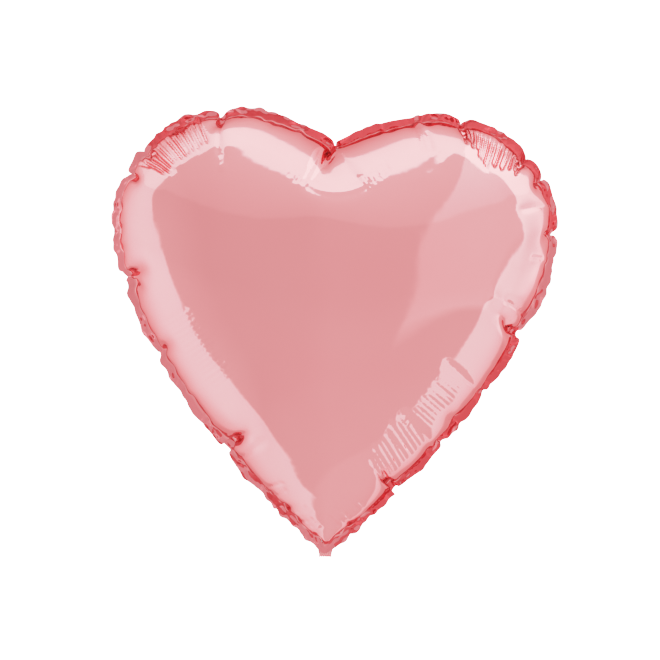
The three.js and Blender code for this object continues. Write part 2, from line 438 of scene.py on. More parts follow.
CREASES = (
    Fold("left", (442, 0), (438, 42), 1.6, 2.4),
    Fold("left", (437, 34), (441, 47), -0.9, 2.2),
    Fold("left", (531, 6), (537, 38), 1.0, 1.8),
    Fold("right", (541.9, 0), (541.9, 32), 1.6, 2.2),
    Fold("right", (474, 0), (471, 27), 1.3, 2.2),
    Fold("right", (467, 8), (464, 27), 1.2, 2.0),
    Fold("right", (338, 5), (338, 26), 1.5, 2.4),
    Fold("right", (293, 4), (290, 15), 1.2, 2.0),
    Fold("right", (246, 0), (247, 23), 1.5, 2.2),
    Fold("right", (243, 22), (247, 36), -0.8, 4.0),
    Fold("right", (175, 5), (177, 38), 1.4, 2.4),
    Fold("right", (171, 14), (171, 36), 0.8, 1.8),
    Fold("right", (120, 4), (123, 38), 1.1, 2.2),
    Fold("left", (98, 0), (98, 26), 1.5, 2.0),
    Fold("left", (67, 0), (62, 14), 1.3, 1.8),
    Fold("left", (57, 0), (57, 12), 1.0, 1.6),
    Fold("right", (452, 26), (470, 44), 0.4, 6.0, 2.0),
    Fold("right", (440, 24), (452, 40), -0.3, 6.0, 2.0),
)


class Gather:
    """A row of fine wrinkles side by side: the first and last along the weld, how many, where the first, the
    middle and the last one start and stop inwards, their depth, and how far their inner ends lean."""

    def __init__(self, side, first, last, count, reach, depth, lean=0.0):
        self.side, self.first, self.last, self.count = side, first, last, count
        self.reach, self.depth, self.lean = reach, depth, lean


GATHERS = (
    Gather("left", 369, 424, 12, ((1, 26), (2, 25), (1, 22)), 2.3, 3),
    Gather("left", 364, 378, 4, ((2, 14), (6, 29), (10, 31)), 1.7, 4),
    Gather("right", 436, 380, 15, ((1, 13), (5, 27), (1, 14)), 2.6, -5),
    Gather("right", 116, 71, 11, ((11, 37), (12, 37), (10, 32)), 1.5, 6),
    Gather("right", 166, 126, 11, ((15, 35), (15, 34), (14, 32)), 0.35),
    Gather("left", 222, 155, 16, ((16, 38), (20, 41), (20, 39)), 0.3),
    Gather("left", 541, 520, 7, ((28, 42), (30, 42), (30, 40)), 0.45),
    Gather("right", 541, 512, 9, ((28, 42), (30, 40), (28, 37)), 0.45),
    Gather("right", 46, 20, 6, ((6, 24), (6, 22), (6, 20)), 0.7),
    Gather("left", 36, 14, 5, ((4, 13), (4, 12), (4, 12)), 0.6),
)


def every_fold(rng):
    """All creases, with each gather's wrinkles spelled out."""
    folds = list(CREASES)
    for row in GATHERS:
        for k in range(row.count):
            part = k / (row.count - 1)
            at = row.first + (row.last - row.first) * part + rng.uniform(-0.6, 0.6)
            start, stop = (np.interp(part, (0, 0.5, 1), [ends[e] for ends in row.reach]) for e in (0, 1))
            stop += rng.uniform(-2.5, 2.5)
            spacing = abs(row.last - row.first) / (row.count - 1)
            depth = row.depth * rng.uniform(0.75, 1.2)
            fold = Fold(row.side, (at, start), (at + row.lean, stop), depth, spacing * 0.3, 2.0)
            folds.append(fold)
    return folds


def window(x, low, high, soft):
    """1 between low and high and 0 outside, with soft ends."""
    rise = np.clip((x - low) / soft + 0.5, 0, 1)
    fall = np.clip((high - x) / soft + 0.5, 0, 1)
    return (rise * rise * (3 - 2 * rise)) * (fall * fall * (3 - 2 * fall))


def drawn_in(outline, folds, along, inward):
    """How far the film is drawn in at points that lie this far along the weld and in from it."""
    scale = outline.half_length / FULL_LENGTH
    drawn = np.zeros(len(along))
    for fold in folds:
        begin, finish = (mark * scale for mark in (fold.start[0], fold.end[0]))
        if fold.side == "left":
            begin, finish = outline.length - begin, outline.length - finish
        low, high = fold.start[1], fold.end[1]
        part = np.clip((inward - low) / (high - low), -0.2, 1.2)
        off = along - (begin + (finish - begin) * part)
        off = (off + outline.half_length) % outline.length - outline.half_length
        flank = fold.width * (1 + 0.4 * np.clip(part, 0, 1))
        across = np.exp(-((np.abs(off) / flank) ** fold.sharp))
        drawn += fold.depth * across * window(inward, low, high, max(2.5, 0.35 * (high - low)))
    return drawn


# ---------------------------------------------------------------- panels


CALM_ROUNDS = 12
CALM_SHARE = 0.6  # how far each round moves a point to the middle of its neighbours
SETTLE_FROM = 12  # inwards from the weld, where it begins
SETTLE_RUN = 40  # and over which it grows to that share
INSIDE = 2  # how far the film stays inside the CAD solid's front and back
EVEN_COLUMNS = 12  # over this many columns to each side the weld line is evened onto its place
NORMAL_COLUMNS = 3  # and its normals
JAG_COLUMNS = 8  # and its jags are measured
MOVE_REACH = 130  # how far in from the weld the move fades out
CALM_REACH = 18  # and the taking out of sways and jags
NEAR_SQUARE = 30  # softness of a weld point's hold over the film near it, in square millimetres
WELD_FOOT = 7.4  # height of the weld line's lowest point
WELD_SWAY = 0.3  # share of the weld's swaying to the front and back that is left
WELD_JAG = 0.28  # and of its jags in the heart's plane


def settle(points, net):
    """Evens out the calm part of the film, where only the net's own unevenness is left."""
    n, film = net.columns, len(net.film)
    edges = np.vstack([net.layer[:, [0, 1]], net.layer[:, [1, 2]], net.layer[:, [2, 0]]])
    edges = np.unique(np.sort(edges, axis=1), axis=0)
    degree = np.bincount(edges.ravel(), minlength=film)[:, None]
    calm = CALM_SHARE * np.clip((net.inward[:film] - SETTLE_FROM) / SETTLE_RUN, 0, 1)[:, None]
    calm[:n] = 0
    for beyond in (0, film - n):
        ids = np.arange(film)
        ids[n:] += beyond
        layer = points[ids]
        for _ in range(CALM_ROUNDS):
            total = np.zeros_like(layer)
            np.add.at(total, edges[:, 0], layer[edges[:, 1]])
            np.add.at(total, edges[:, 1], layer[edges[:, 0]])
            layer = layer + calm * (total / degree - layer)
        points[ids] = layer
    return points


def evened(values, reach):
    """A closed line of values, evened out over this many columns to each side."""
    weights = np.exp(-2 * (np.arange(-reach, reach + 1) / reach) ** 2)
    weights /= weights.sum()
    longer = np.concatenate([values[-reach:], values, values[:reach]])
    return np.stack([np.convolve(column, weights, "valid") for column in longer.T], axis=1)


def in_place(points, net, cut, full):
    """Moves the blown-up film to its place and evens its weld line onto the full balloon's."""
    n, film = net.columns, len(net.film)
    layers = points[: 2 * film - n]
    weld = layers[:n]
    low, high = layers.min(axis=0), layers.max(axis=0)
    half_depth = -PANEL_LOW.y / MM - INSIDE
    layers[:, 0] -= (low[0] + high[0]) / 2
    layers[:, 1] = (layers[:, 1] - (low[1] + high[1]) / 2) * half_depth * 2 / (high[1] - low[1])
    layers[:, 2] += WELD_FOOT - weld[0, 2]
    target = full.at(net.s * full.length / cut.length) + [0, WELD_FOOT]
    shift = evened(target - weld[:, [0, 2]], EVEN_COLUMNS)
    flat = np.vstack([net.film, net.film[n:]])
    inward = np.concatenate([net.inward[:film], net.inward[n:film]])
    fade = np.clip(1 - inward / MOVE_REACH, 0, 1) ** 1.5
    near = ((flat[:, None] - net.film[None, :n]) ** 2).sum(axis=2)
    pull = 1 / (near + NEAR_SQUARE) ** 2
    pull /= pull.sum(axis=1)[:, None]
    layers[:, [0, 2]] += (pull @ shift) * fade[:, None]
    outward = evened(full.outward(net.s * full.length / cut.length), NORMAL_COLUMNS)
    jag = ((weld[:, [0, 2]] - evened(weld[:, [0, 2]], JAG_COLUMNS)) * outward).sum(axis=1)
    near_weld = np.exp(-inward / CALM_REACH)
    layers[:, 1] -= (pull @ weld[:, 1]) * (1 - WELD_SWAY) * near_weld
    layers[:, [0, 2]] -= (pull @ (outward * jag[:, None])) * (1 - WELD_JAG) * near_weld[:, None]
    return points


WELD_GAP = 0.3  # between the two panels in the margin
MOUTH_GAP = 0.7  # how much further out each panel lies where the tail and the valve come out
MOUTH_WIDTH = 6  # over this far to each side
MOUTH_TOP = 11  # up to here
MOUTH_FADE = 3  # and fading over this height
NOTCH_WIDTH = 5.5
NOTCH_REACH = 0.3  # how far the margin reaches at a notch, as a share of its width
LOBE_REACH = 0.64  # and how much further between two notches
LOBE_LENGTH = 30  # between notches this far apart, or less far where they are nearer
POINT_REACH = 0.9  # and its reach round the heart's point
POINT_RUN = 27  # up to here along the weld
POINT_FADE = 12  # fading over this length
NOTCH_FLATTENS = 0.7  # how much less it leans at a notch
LEAN_CHANGE = 0.12  # by how much it leans more or less from one notch to the next

# How far the margin leans forward up each side from the heart's point: a share of the way, and the slope.
# Where it leans forward it mirrors the film beside it, and shows a deeper pink.
RIGHT_LEAN = ((0, 0.4), (0.05, 0.6), (0.4, 0.6), (0.46, 0.1), (0.56, 0.1), (0.62, 0.6), (1, 0.65))
LEFT_LEAN = (
    (0, 0.2),
    (0.12, 0.2),
    (0.3, -0.1),
    (0.5, -0.4),
    (0.67, -0.5),
    (0.71, 0.55),
    (0.82, 0.3),
    (0.93, 0.5),
    (1, 0.6),
)


def notch_pull(net, notches, length):
    """1 at each notch of the weld, and 0 a few millimetres to each side."""
    pull = np.zeros(net.columns)
    for place in notches:
        off = (net.s - place + length / 2) % length - length / 2
        pull = np.maximum(pull, np.exp(-((off / NOTCH_WIDTH) ** 2)))
    return pull


def margin_lean(side, change, pull):
    """The slope of the margin at these shares: 0 to 1 up the right side, and 1 to 2 down the left."""
    right = np.interp(side, *zip(*RIGHT_LEAN))
    left = np.interp(2 - side, *zip(*LEFT_LEAN))
    lean = np.where(side <= 1, right, left) + change
    return evened(lean[:, None], 2)[:, 0] * (1 - NOTCH_FLATTENS * pull)


def lay_margin(points, net, cut, full, settings, notches):
    """Lays the margin outside the weld: drawn in at the notches, and leaning forward or back between them."""
    rng = np.random.default_rng(3)
    n = net.columns
    weld = points[:n]
    s = net.s * (full.length / cut.length)
    outward = evened(full.outward(s), NORMAL_COLUMNS)
    outward /= np.hypot(*outward.T)[:, None]
    edges = np.array([0, *notches, cut.length])
    lobe = np.searchsorted(edges, net.s, side="right") - 1
    lobe = np.clip(lobe, 0, len(edges) - 2)
    room = edges[lobe + 1] - edges[lobe]
    part = (net.s - edges[lobe]) / room
    rounding = np.sqrt(np.clip(4 * part * (1 - part), 0, 1)) ** 0.8
    reach = NOTCH_REACH + LOBE_REACH * rounding * np.clip(room / LOBE_LENGTH, 0.65, 1)
    # It isn't drawn in where the two sides meet in the point.
    from_point = np.minimum(s, full.length - s)
    reach = np.maximum(reach, POINT_REACH * np.clip((POINT_RUN - from_point) / POINT_FADE, 0, 1))
    change = rng.uniform(-LEAN_CHANGE, LEAN_CHANGE, len(edges) + 1)[lobe]
    lean = margin_lean(s / full.half_length, change, notch_pull(net, notches, cut.length))
    rows = []
    for k in range(1, MARGIN_ROWS + 1):
        width = settings.margin / MM * k / MARGIN_ROWS
        row = weld.copy()
        row[:, [0, 2]] += outward * (width * reach * np.cos(np.arctan(lean)))[:, None]
        row[:, 1] = weld[:, 1] * (1 - 0.3 * k / MARGIN_ROWS) - width * lean * reach * 0.9
        row[:, 2] = np.maximum(row[:, 2], WELD_GAP)
        rows.append(row)
    points[-MARGIN_ROWS * n :] = np.vstack(rows)
    return points


def triangle_wave(x):
    """Up and down between -1 and 1, once for each whole number."""
    return 4 * np.abs(x - np.floor(x + 0.5)) - 1


def facets(along, beyond):
    """How far the crumpled margin stands forward, this far along the weld and beyond it: sharp ridges that
    run both ways across it, in patches with smooth film between them."""
    warp = 3.1 * np.sin(along / 23 + 1.1) + 1.6 * np.sin(along / 9.1 + 4.0)
    warp += 0.9 * np.sin(along / 4.7 + beyond / 3)
    patch = np.clip(0.35 + 0.8 * np.sin(along / 17 + 0.4) + 0.7 * np.sin(along / 7.3 + 2.2), 0.08, 1)
    ridges = 0.8 * triangle_wave((along + 2.1 * warp + 1.2 * beyond) / 15.7)
    ridges += 0.5 * triangle_wave((along - 2.6 * warp - 1.3 * beyond) / 9.3)
    ridges += 0.55 * triangle_wave((beyond + 0.6 * warp) / 6.1 + 0.3)
    return ridges * patch * np.clip(beyond / 4, 0, 1)


def panel_mesh(name, side, blown, net, outline, folds):
    """One panel with its margin. side is -1 for the front and 1 for the back."""
    n, film = net.columns, len(net.film)
    loose = film - n
    inner = blown[n:film] if side < 0 else blown[film : film + loose]
    points = np.vstack([blown[:n], inner, blown[film + loose :]])
    quads = margin_quads(0, n, film)
    faces = [*net.layer.tolist(), *quads.tolist()]
    mesh = bpy.data.meshes.new(name)
    mesh.from_pydata((points * MM).tolist(), [], faces)
    mesh.update()
    outer = [p for p in mesh.polygons if len(p.vertices) == 3]
    facing = sum(p.normal.y * p.area for p in outer)
    if facing * side < 0:
        mesh.flip_normals()
    crease = mesh.attributes.new("crease_edge", "FLOAT", "EDGE")
    weld = [all(v < n for v in edge.vertices) for edge in mesh.edges]
    crease.data.foreach_set("value", np.array(weld, dtype=np.float32))
    marking = mesh.attributes.new("margin", "FLOAT", "POINT")
    marking.data.foreach_set("value", np.r_[np.zeros(film), np.ones(len(points) - film)].astype(np.float32))
    piece = bpy.data.objects.new(name, mesh)
    bpy.context.scene.collection.objects.link(piece)
    only(piece)
    modifier = piece.modifiers.new("Subdivision", "SUBSURF")
    modifier.levels = modifier.render_levels = 1
    bpy.ops.object.modifier_apply(modifier=modifier.name)
    refine(piece, outline)
    press_folds(piece, outline, folds, side)
    piece.data.shade_smooth()
    return piece


def only(piece):
    """Selects this piece alone and makes it active."""
    bpy.ops.object.select_all(action="DESELECT")
    piece.select_set(True)
    bpy.context.view_layer.objects.active = piece


def coordinates(mesh):
    """The vertices' places."""
    flat = np.empty(len(mesh.vertices) * 3)
    mesh.vertices.foreach_get("co", flat)
    return flat.reshape(-1, 3) / MM


def on_film(mesh, outline):
    """How far along the weld and in from it each vertex lies, and whether it is inside the weld."""
    points = coordinates(mesh)
    along, inward = outline.place(points[:, [0, 2]] - [0, WELD_FOOT])
    outside = np.empty(len(mesh.vertices), np.float32)
    mesh.attributes["margin"].data.foreach_get("value", outside)
    return along, inward, outside < 0.05


def refine(piece, outline):
    """Divides the film again where it carries fine wrinkles, and the margin."""
    mesh = piece.data
    along, inward, film = on_film(mesh, outline)
    scale = outline.half_length / FULL_LENGTH
    wanted = ~film
    for row in GATHERS:
        low, high = sorted((row.first * scale, row.last * scale + row.lean))
        if row.side == "left":
            low, high = outline.length - high, outline.length - low
        deepest = max(stop for _, stop in row.reach) + 2
        nearest = min(start for start, _ in row.reach) - 2
        wanted |= film & (along > low - 3) & (along < high + 3) & (inward < deepest) & (inward >= nearest)
    chosen = np.array([bool(wanted[list(p.vertices)].all()) for p in mesh.polygons])
    bpy.ops.object.mode_set(mode="EDIT")
    bpy.ops.mesh.select_mode(type="FACE")
    bpy.ops.mesh.select_all(action="DESELECT")
    bpy.ops.object.mode_set(mode="OBJECT")
    mesh.polygons.foreach_set("select", chosen)
    bpy.ops.object.mode_set(mode="EDIT")
    bpy.ops.mesh.subdivide(number_cuts=1, smoothness=0)
    bpy.ops.object.mode_set(mode="OBJECT")


def press_folds(piece, outline, folds, side):
    """Draws the film in along its folds, and sets the two panels' margins a weld apart."""
    mesh = piece.data
    along, inward, film = on_film(mesh, outline)
    points = coordinates(mesh)
    normals = np.empty(len(points) * 3)
    mesh.vertices.foreach_get("normal", normals)
    normals = normals.reshape(-1, 3)
    drawn = drawn_in(outline, folds, along, inward) * film
    outside = np.empty(len(points), np.float32)
    mesh.attributes["margin"].data.foreach_get("value", outside)
    points -= normals * drawn[:, None]
    # The panels lie smooth and stand apart where the tail and the valve come out between them.
    mouth = np.exp(-((points[:, 0] / MOUTH_WIDTH) ** 2))
    mouth = mouth * np.clip((MOUTH_TOP - points[:, 2]) / MOUTH_FADE, 0, 1)
    margin = np.clip(outside * MARGIN_ROWS, 0, 1)
    points[:, 1] *= 1 - mouth
    points[:, 1] -= facets(along, inward) * margin * (1 - mouth) * bpy.context.scene.balloon_film.crumple
    points[:, 1] += side * (WELD_GAP / 2 * margin + MOUTH_GAP * mouth)
    mesh.vertices.foreach_set("co", (points * MM).ravel())
    mesh.update()


# ---------------------------------------------------------------- tail and valve


def along_path(corners, step=0.5):
    """Points every step along a smooth path through these corners, in the plane that halves the balloon."""
    corners = np.array(corners, float)
    before, after = 2 * corners[0] - corners[1], 2 * corners[-1] - corners[-2]
    p = np.vstack([before, corners, after])
    fine = []
    for k in range(1, len(p) - 2):
        t = np.linspace(0, 1, 24, endpoint=False)[:, None]
        a, b, c, d = p[k - 1], p[k], p[k + 1], p[k + 2]
        square = 2 * a - 5 * b + 4 * c - d
        cube = 3 * b - a - 3 * c + d
        fine.append(0.5 * (2 * b + (c - a) * t + square * t**2 + cube * t**3))
    fine = np.vstack([*fine, corners[-1:]])
    run = np.concatenate([[0], np.cumsum(np.hypot(*np.diff(fine, axis=0).T))])
    marks = np.linspace(0, run[-1], int(run[-1] / step) + 1)
    return marks, np.stack([np.interp(marks, run, fine[:, k]) for k in (0, 1)], axis=1)


def strip_piece(name, path, half_width, lift, columns=48):
    """A strip of film along a path. half_width and lift are functions of the distance along the path, and
    lift, how far the film stands off the path's own line, also of the share across from -1 to 1."""
    marks, line = path
    ahead = np.gradient(line, axis=0)
    ahead /= np.hypot(*ahead.T)[:, None]
    off = np.stack([ahead[:, 1], -ahead[:, 0]], axis=1)
    across = np.linspace(-1, 1, columns + 1)
    x = half_width(marks)[:, None] * across[None]
    stand = lift(marks[:, None], across[None])
    y = line[:, :1] + off[:, :1] * stand
    z = line[:, 1:] + off[:, 1:] * stand
    points = np.stack([x, y, z], axis=-1)
    rows = len(marks)
    index = np.arange(rows * (columns + 1)).reshape(rows, columns + 1)
    corners = (index[:-1, :-1], index[:-1, 1:], index[1:, 1:], index[1:, :-1])
    quads = np.stack(corners, axis=-1).reshape(-1, 4)
    mesh = bpy.data.meshes.new(name)
    mesh.from_pydata((points.reshape(-1, 3) * MM).tolist(), [], quads.tolist())
    uv = mesh.uv_layers.new(name="across")
    flat = np.stack([np.broadcast_to(part, stand.shape) for part in (x, marks[:, None])], axis=-1)
    uv.data.foreach_set("uv", flat.reshape(-1, 2)[quads.ravel()].ravel())
    piece = bpy.data.objects.new(name, mesh)
    bpy.context.scene.collection.objects.link(piece)
    mesh.shade_smooth()
    return piece


def tail_point(along, off):
    """A place on the folded tail, as y and z: this far along it, and this far off its heart side."""
    run, rise = math.sin(FOLDED_ANGLE), math.cos(FOLDED_ANGLE)
    return (FOLD_Y + along * run + off * rise, along * rise - off * run)


PLEAT_DEPTH = 0.62
PLEATS_DOWN = 15  # over which the pleats flatten down the tail
PLEATS_UP = 3.5  # and up into the heart

# Each ply of the tail: its name, which way it bulges, how far it stands off the tail's side, and the corners
# of its bend at the fold, as y and z.
TAIL_PLIES = (
    ("front", 1, 2.3, ((-0.2, 4), (-0.35, 2), (-0.4, 0.2), (0.4, -1.3), (1.7, -1.5))),
    ("back", -1, 1.6, ((0.2, 4), (0.4, 2.4), (0.6, 1.0), (1.15, -0.1), (1.9, 0.1))),
)
VALVE_OFF = 1.95  # how far the middle of the valve stands off the tail's side
VALVE_PLY = 0.12  # how far each of its plies stands off that


def pleats(along, across):
    """The gathers of the throat, which spread out and flatten away from it."""
    fade = np.exp(-((along / np.where(along < 0, PLEATS_UP, PLEATS_DOWN)) ** 2))
    return PLEAT_DEPTH * fade * np.cos(across * 6.5 * math.pi) * (1 - 0.25 * np.cos(across * 9.1))


def tail_films(tail):
    """The two plies of the tail, each with its CAD node."""
    reach = tail.length / MM
    half, throat, fan, seal = (size / MM for size in (tail.width / 2, tail.throat / 2, tail.fan, tail.seal))
    for ply, side, off, bend in TAIL_PLIES:
        path = along_path([*bend, *(tail_point(along, off) for along in (3, 8, 16, 28, 42, reach))])
        start = path[0][-1] - reach

        def half_width(marks, start=start):
            part = np.clip((marks - start) / fan, 0, 1)
            spread = throat + (half - throat) * part * part * (3 - 2 * part)
            return np.where(marks < start, throat + 0.25 * np.maximum(start - 6 - marks, 0), spread)

        def lift(marks, across, start=start, side=side):
            along = marks - start
            spread = np.clip(along / 30, 0, 1)
            seam = np.clip((1 - np.abs(across)) * half - seal, 0, None)
            bulge = side * 1.15 * spread * (1 - np.exp(-seam / 5.0))
            ripple = 0.16 * np.cos(along * 1.35 + across * 2) * np.exp(-((seam - 1) / 2.2) ** 2) * spread
            return bulge + ripple + pleats(along, across)

        yield f"tail_{ply}_ply", strip_piece(f"tail_{ply}_film", path, half_width, lift, 96)


def valve_films(valve, tail):
    """The two plies of the valve, from the heart through the throat into the tail, each with its nodes."""
    reach = (tail.length - valve.inset) / MM
    throat, inlet, flap = (size / MM / 2 for size in (valve.throat, valve.inlet_width, valve.flap_width))
    top = FLAP_HIGH.z / MM
    for side, ply in ((-1, "front"), (1, "back")):
        y = side * VALVE_PLY
        off = VALVE_OFF - side * VALVE_PLY
        corners = [(side * 0.55, top), (side * 0.4, top - 30), (y, 30), (y, 12), (y, 2.5)]
        corners += [(0.75 + side * 0.1, -0.75 + side * 0.08), (1.9 + side * 0.05, -0.55 + side * 0.1)]
        corners += [tail_point(along, off) for along in (4, 10, 24, reach)]
        path = along_path(corners, 1.0)
        start = path[0][-1] - reach

        def half_width(marks, start=start):
            up = np.clip((start - 12 - marks) / 26, 0, 1)
            down = np.clip((marks - start) / (tail.fan / MM), 0, 1)
            smooth = [part * part * (3 - 2 * part) for part in (up, down)]
            return throat + (flap - throat) * smooth[0] + (inlet - throat) * smooth[1]

        def lift(marks, across, start=start):
            # The valve is narrower than the tail, and lies in the same pleats.
            return pleats(marks - start, across * 0.72) + 0.1 * np.sin(marks / 7) * np.cos(across * 2)

        nodes = (f"valve_{ply}_flap", f"valve_{ply}_inlet")
        yield nodes, strip_piece(f"valve_{ply}_film", path, half_width, lift, 28)


# ---------------------------------------------------------------- materials


def linear(code):
    """Linear colour of an sRGB hex value."""
    channels = [int(code[i : i + 2], 16) / 255 for i in (1, 3, 5)]
    return [c / 12.92 if c <= 0.04045 else ((c + 0.055) / 1.055) ** 2.4 for c in channels] + [1.0]


def add_node(tree, kind, settings=None, inputs=None, stops=()):
    """Adds a node with its settings. Inputs are given by name or number, each as a link from another node or
    a value, and the stops of a ramp as places and levels."""
    node = tree.nodes.new(kind)
    for key, value in (settings or {}).items():
        setattr(node, key, value)
    for key, value in (inputs or {}).items():
        if isinstance(value, bpy.types.NodeSocket):
            tree.links.new(value, node.inputs[key])
        else:
            node.inputs[key].default_value = value
    for k, (place, level) in enumerate(stops):
        stop = node.color_ramp.elements[k] if k < 2 else node.color_ramp.elements.new(place)
        stop.position = place
        stop.color = (level, level, level, 1)
    return node


def new_material(name):
    """An empty material, and its nodes."""
    material = bpy.data.materials.new(name)
    material.use_nodes = True
    material.node_tree.nodes.clear()
    return material, material.node_tree


def lacquered_foil(colours):
    """Polyester film, metallised under a pink lacquer and rolled smooth: a soft mirror tinted by the lacquer.
    The lacquer's gloss lies over it, rolling leaves faint streaks, and handling a slight haze and dents. The
    margin's deeper pink is a painted reflection of the film in itself."""
    material, tree = new_material("lacquered_foil")
    place = add_node(tree, "ShaderNodeTexCoord").outputs["Object"]
    blend = {"data_type": "RGBA"}
    # Lacquer thickness varies over some 70 mm.
    cloud = add_node(tree, "ShaderNodeTexNoise", None, {"Vector": place, "Scale": 14.0, "Detail": 2.0})
    pinks = {0: cloud.outputs["Fac"], 6: linear(colours.foil), 7: linear(colours.foil_deep)}
    tint = add_node(tree, "ShaderNodeMix", blend, pinks).outputs[2]
    # The margin is painted a deeper pink: a painted reflection of the film in itself, standing in for the
    # crumpled margin mirroring the film beside it.
    welded = add_node(tree, "ShaderNodeAttribute", {"attribute_name": "margin"}).outputs["Fac"]
    painted_reflection_tint = {0: welded, 6: tint, 7: linear(colours.foil_painted_margin_reflection)}
    tint = add_node(tree, "ShaderNodeMix", blend, painted_reflection_tint).outputs[2]
    # Streaks of the rolling run up the film, 1.5 mm apart, coarse enough to show.
    stretch = add_node(tree, "ShaderNodeMapping", None, {"Vector": place, "Scale": (650.0, 650.0, 18.0)})
    lines = {"Vector": stretch.outputs[0], "Scale": 1.0, "Detail": 2.0}
    streak = add_node(tree, "ShaderNodeTexNoise", None, lines).outputs["Fac"]
    rough = add_node(tree, "ShaderNodeMapRange", None, {0: streak, 3: 0.045, 4: 0.08}).outputs[0]
    # Dents of handling, 12 mm across.
    dent = add_node(tree, "ShaderNodeTexNoise", None, {"Vector": place, "Scale": 80.0, "Detail": 1.0})
    dented = {"Strength": 0.05, "Distance": 0.001, "Height": dent.outputs["Fac"]}
    bump = add_node(tree, "ShaderNodeBump", None, dented).outputs[0]
    foil = {
        "Base Color": tint,
        "Metallic": 1.0,
        "Roughness": rough,
        "Normal": bump,
        # The lacquer tints the mirror at a glancing angle too.
        "Specular Tint": linear(colours.glancing),
        "Coat Weight": 0.06,
        "Coat Roughness": 0.04,
    }
    shader = add_node(tree, "ShaderNodeBsdfPrincipled", None, foil)
    add_node(tree, "ShaderNodeOutputMaterial", None, {"Surface": shader.outputs[0]})
    return material


def clear_film(colours):
    """Polyethylene film, blown thin and clear: it shows as a faint grey sheen over what lies behind it."""
    material, tree = new_material("clear_film")
    place = add_node(tree, "ShaderNodeTexCoord").outputs["Object"]
    # Haze in grains some 4 mm across.
    haze = add_node(tree, "ShaderNodeTexNoise", None, {"Vector": place, "Scale": 240.0, "Detail": 3.0})
    rough = add_node(tree, "ShaderNodeMapRange", None, {0: haze.outputs["Fac"], 3: 0.16, 4: 0.3}).outputs[0]
    film = {"Base Color": linear(colours.valve), "Roughness": rough, "IOR": 1.51, "Alpha": 0.42}
    shader = add_node(tree, "ShaderNodeBsdfPrincipled", None, film)
    add_node(tree, "ShaderNodeOutputMaterial", None, {"Surface": shader.outputs[0]})
    return material


def painted_floor(colours):
    """Matt painted board of the studio floor: pale, with the fine grain of the roller."""
    material, tree = new_material("painted_floor")
    place = add_node(tree, "ShaderNodeTexCoord").outputs["Object"]
    # Grain of the roller, some 3 mm across.
    grain = add_node(tree, "ShaderNodeTexNoise", None, {"Vector": place, "Scale": 300.0}).outputs["Fac"]
    rough = add_node(tree, "ShaderNodeMapRange", None, {0: grain, 3: 0.8, 4: 0.95}).outputs[0]
    paint = {"Base Color": linear(colours.floor), "Roughness": rough}
    shader = add_node(tree, "ShaderNodeBsdfPrincipled", None, paint)
    add_node(tree, "ShaderNodeOutputMaterial", None, {"Surface": shader.outputs[0]})
    return material


# ---------------------------------------------------------------- steps


def enclosed(line):
    """Area inside an outline of which this is the right half."""
    return abs(np.sum(line[:-1, 0] * line[1:, 1] - line[1:, 0] * line[:-1, 1]))


class BALLOON_OT_panels(bpy.types.Operator):
    """Cut the film, blow it up and make the front and back panels"""

    bl_idname = "balloon.panels"
    bl_label = "Panels"

    def execute(self, context):
        scene = context.scene
        settings = scene.balloon_film
        cut = Outline(scene.balloon_cut)
        full = Outline(scene.balloon_blown)
        net = Net(cut, settings.margin / MM)
        notches = notch_places(cut)
        blown = inflate(cut, net, notches, settings.pressure)
        blown = in_place(settle(blown, net), net, cut, full)
        blown = lay_margin(blown, net, cut, full, settings, notches)
        foil = lacquered_foil(scene.balloon_colours)
        margin = settings.margin / MM
        area = (enclosed(cut.line) + cut.length * margin) * MM * MM
        for panel, side, seed in (("front", -1, 11), ("back", 1, 23)):
            folds = every_fold(np.random.default_rng(seed))
            piece = panel_mesh(f"{panel}_film", side, blown, net, full, folds)
            piece.data.materials.append(foil)
            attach(piece, "balloon")
            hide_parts(f"{panel}_panel")
        return {"FINISHED"}


class BALLOON_OT_tail(bpy.types.Operator):
    """Make the two plies of the filling tail"""

    bl_idname = "balloon.tail"
    bl_label = "Tail"

    def execute(self, context):
        scene = context.scene
        tail = scene.balloon_tail
        foil = bpy.data.materials["lacquered_foil"]
        for node, piece in tail_films(tail):
            piece.data.materials.append(foil)
            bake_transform(piece)
            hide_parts(node)
        return {"FINISHED"}


class BALLOON_OT_valve(bpy.types.Operator):
    """Make the two clear plies of the valve"""

    bl_idname = "balloon.valve"
    bl_label = "Valve"

    def execute(self, context):
        scene = context.scene
        valve, tail = scene.balloon_valve, scene.balloon_tail
        film = clear_film(scene.balloon_colours)
        for nodes, piece in valve_films(valve, tail):
            piece.data.materials.append(film)
            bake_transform(piece)
            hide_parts(*nodes)
        return {"FINISHED"}


class BALLOON_OT_stage(bpy.types.Operator):
    """Set up the floor, the light and the camera"""

    bl_idname = "balloon.stage"
    bl_label = "Stage"

    def execute(self, context):
        scene = context.scene
        stage = scene.balloon_stage
        make_world(scene)
        bpy.ops.object.select_all(action="DESELECT")
        bpy.ops.mesh.primitive_circle_add(
            vertices=96,
            radius=stage.floor_radius,
            fill_type="NGON",
            location=(0, 0, -stage.floor_drop),
        )
        floor = context.active_object
        floor.name = "studio_floor"
        floor.data.materials.append(painted_floor(scene.balloon_colours))
        # The mirror of the film shows the tent all round, not the floor's edge.
        floor.visible_glossy = False
        data = bpy.data.cameras.new("camera")
        data.lens = stage.lens
        data.sensor_width = stage.sensor
        camera = bpy.data.objects.new("camera", data)
        scene.collection.objects.link(camera)
        camera.location = (stage.aim_x, -stage.camera_distance, stage.aim_z)
        level = Matrix.Rotation(math.pi / 2, 4, "X") @ Matrix.Rotation(stage.lean, 4, "Z")
        camera.rotation_euler = level.to_euler()
        scene.camera = camera
        set_tone(scene)
        return {"FINISHED"}


